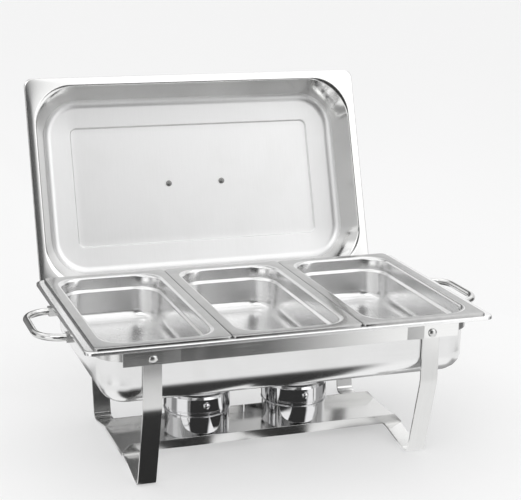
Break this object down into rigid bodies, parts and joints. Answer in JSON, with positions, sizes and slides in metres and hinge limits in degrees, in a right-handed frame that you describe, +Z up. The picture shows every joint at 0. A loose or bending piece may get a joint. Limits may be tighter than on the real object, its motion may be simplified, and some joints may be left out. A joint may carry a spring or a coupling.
{
  "type": "chafing dish food warmer",
  "caption": "Folding stainless steel chafing dish: water pan with divided food pans on a strip-steel stand, burner holders on a shelf below, and a lid parked upright behind.",
  "frame": {"origin": "centre of the whole object's footprint box with the lid parked, on the table", "axes": "+X along the dish to the user's right, +Y away from the user towards the parked lid, +Z up"},
  "size_m": [0.636, 0.5, 0.469],
  "materials": {
    "pan_steel": "satin",
    "lid_steel": "satin polished",
    "stand_steel": "polished strip",
    "burner_steel": "mirror",
    "fastener_steel": "domed, polished"
  },
  "bodies": {
    "frame": {"front_rail": "stand_steel", "rear_rail": "stand_steel", "end_bracket_left": "stand_steel", "end_bracket_right": "stand_steel", "handle_left": "stand_steel", "handle_right": "stand_steel", "handle_lug_left_a": "stand_steel", "handle_lug_left_b": "stand_steel", "handle_lug_right_a": "stand_steel", "handle_lug_right_b": "stand_steel", "pivot_rivets": "fastener_steel"},
    "water_pan": {"water_pan": "pan_steel"},
    "food_pan_left": {"food_pan_left": "pan_steel"},
    "food_pan_centre": {"food_pan_centre": "pan_steel"},
    "food_pan_right": {"food_pan_right": "pan_steel"},
    "lid": {"lid_shell": "lid_steel", "lid_handle": "stand_steel", "lid_handle_screws": "fastener_steel"},
    "left_leg": {"leg_left": "stand_steel"},
    "right_leg": {"leg_right": "stand_steel"},
    "shelf": {"burner_shelf": "stand_steel"},
    "burner_left": {"burner_cup_left": "burner_steel"},
    "cap_left": {"burner_cap_left": "burner_steel", "cap_knob_left": "burner_steel", "damper_rivet_left": "burner_steel"},
    "damper_left": {"damper_left": "burner_steel"},
    "burner_right": {"burner_cup_right": "burner_steel"},
    "cap_right": {"burner_cap_right": "burner_steel", "cap_knob_right": "burner_steel", "damper_rivet_right": "burner_steel"},
    "damper_right": {"damper_right": "burner_steel"}
  },
  "joints": [
    {"name": "water_pan_lift", "type": "slide", "parent": "frame", "child": "water_pan", "axis": [0, 0, 1], "range_m": [0, 0.2355]},
    {"name": "shelf_lift", "type": "slide", "parent": "frame", "child": "shelf", "axis": [0, 0, 1], "range_m": [0, 0.1963]},
    {"name": "left_leg_fold", "type": "hinge", "parent": "frame", "child": "left_leg", "pos_m": [-0.1898, -0.08403, 0.1815], "axis": [0, -1, 0], "range_deg": [0, 90]},
    {"name": "right_leg_fold", "type": "hinge", "parent": "frame", "child": "right_leg", "pos_m": [0.1898, -0.08403, 0.1815], "axis": [0, 1, 0], "range_deg": [0, 90]},
    {"name": "lid_swing", "type": "hinge", "parent": "water_pan", "child": "lid", "pos_m": [0, 0.08297, 0.17], "axis": [-1, 0, 0], "range_deg": [-109, 0]},
    {"name": "food_pan_left_lift", "type": "slide", "parent": "water_pan", "child": "food_pan_left", "axis": [0, 0, 1], "range_m": [0, 0.08]},
    {"name": "food_pan_centre_lift", "type": "slide", "parent": "water_pan", "child": "food_pan_centre", "axis": [0, 0, 1], "range_m": [0, 0.08]},
    {"name": "food_pan_right_lift", "type": "slide", "parent": "water_pan", "child": "food_pan_right", "axis": [0, 0, 1], "range_m": [0, 0.08]},
    {"name": "burner_left_lift", "type": "slide", "parent": "shelf", "child": "burner_left", "axis": [0, 0, 1], "range_m": [0, 0.022]},
    {"name": "cap_left_lift", "type": "slide", "parent": "burner_left", "child": "cap_left", "axis": [0, 0, 1], "range_m": [0, 0.02]},
    {"name": "damper_left_swing", "type": "hinge", "parent": "cap_left", "child": "damper_left", "pos_m": [-0.0855, -0.05103, 0.0818], "axis": [0, 0, -1], "range_deg": [0, 90]},
    {"name": "burner_right_lift", "type": "slide", "parent": "shelf", "child": "burner_right", "axis": [0, 0, 1], "range_m": [0, 0.022]},
    {"name": "cap_right_lift", "type": "slide", "parent": "burner_right", "child": "cap_right", "axis": [0, 0, 1], "range_m": [0, 0.02]},
    {"name": "damper_right_swing", "type": "hinge", "parent": "cap_right", "child": "damper_right", "pos_m": [0.057, -0.05103, 0.0818], "axis": [0, 0, 1], "range_deg": [0, 90]}
  ],
  "couplings": [
    {"joint": "left_leg_fold", "follows": "water_pan_lift", "rad_per_m": 6.6667},
    {"joint": "right_leg_fold", "follows": "water_pan_lift", "rad_per_m": 6.6667},
    {"joint": "shelf_lift", "follows": "water_pan_lift", "ratio": 0.8333}
  ]
}
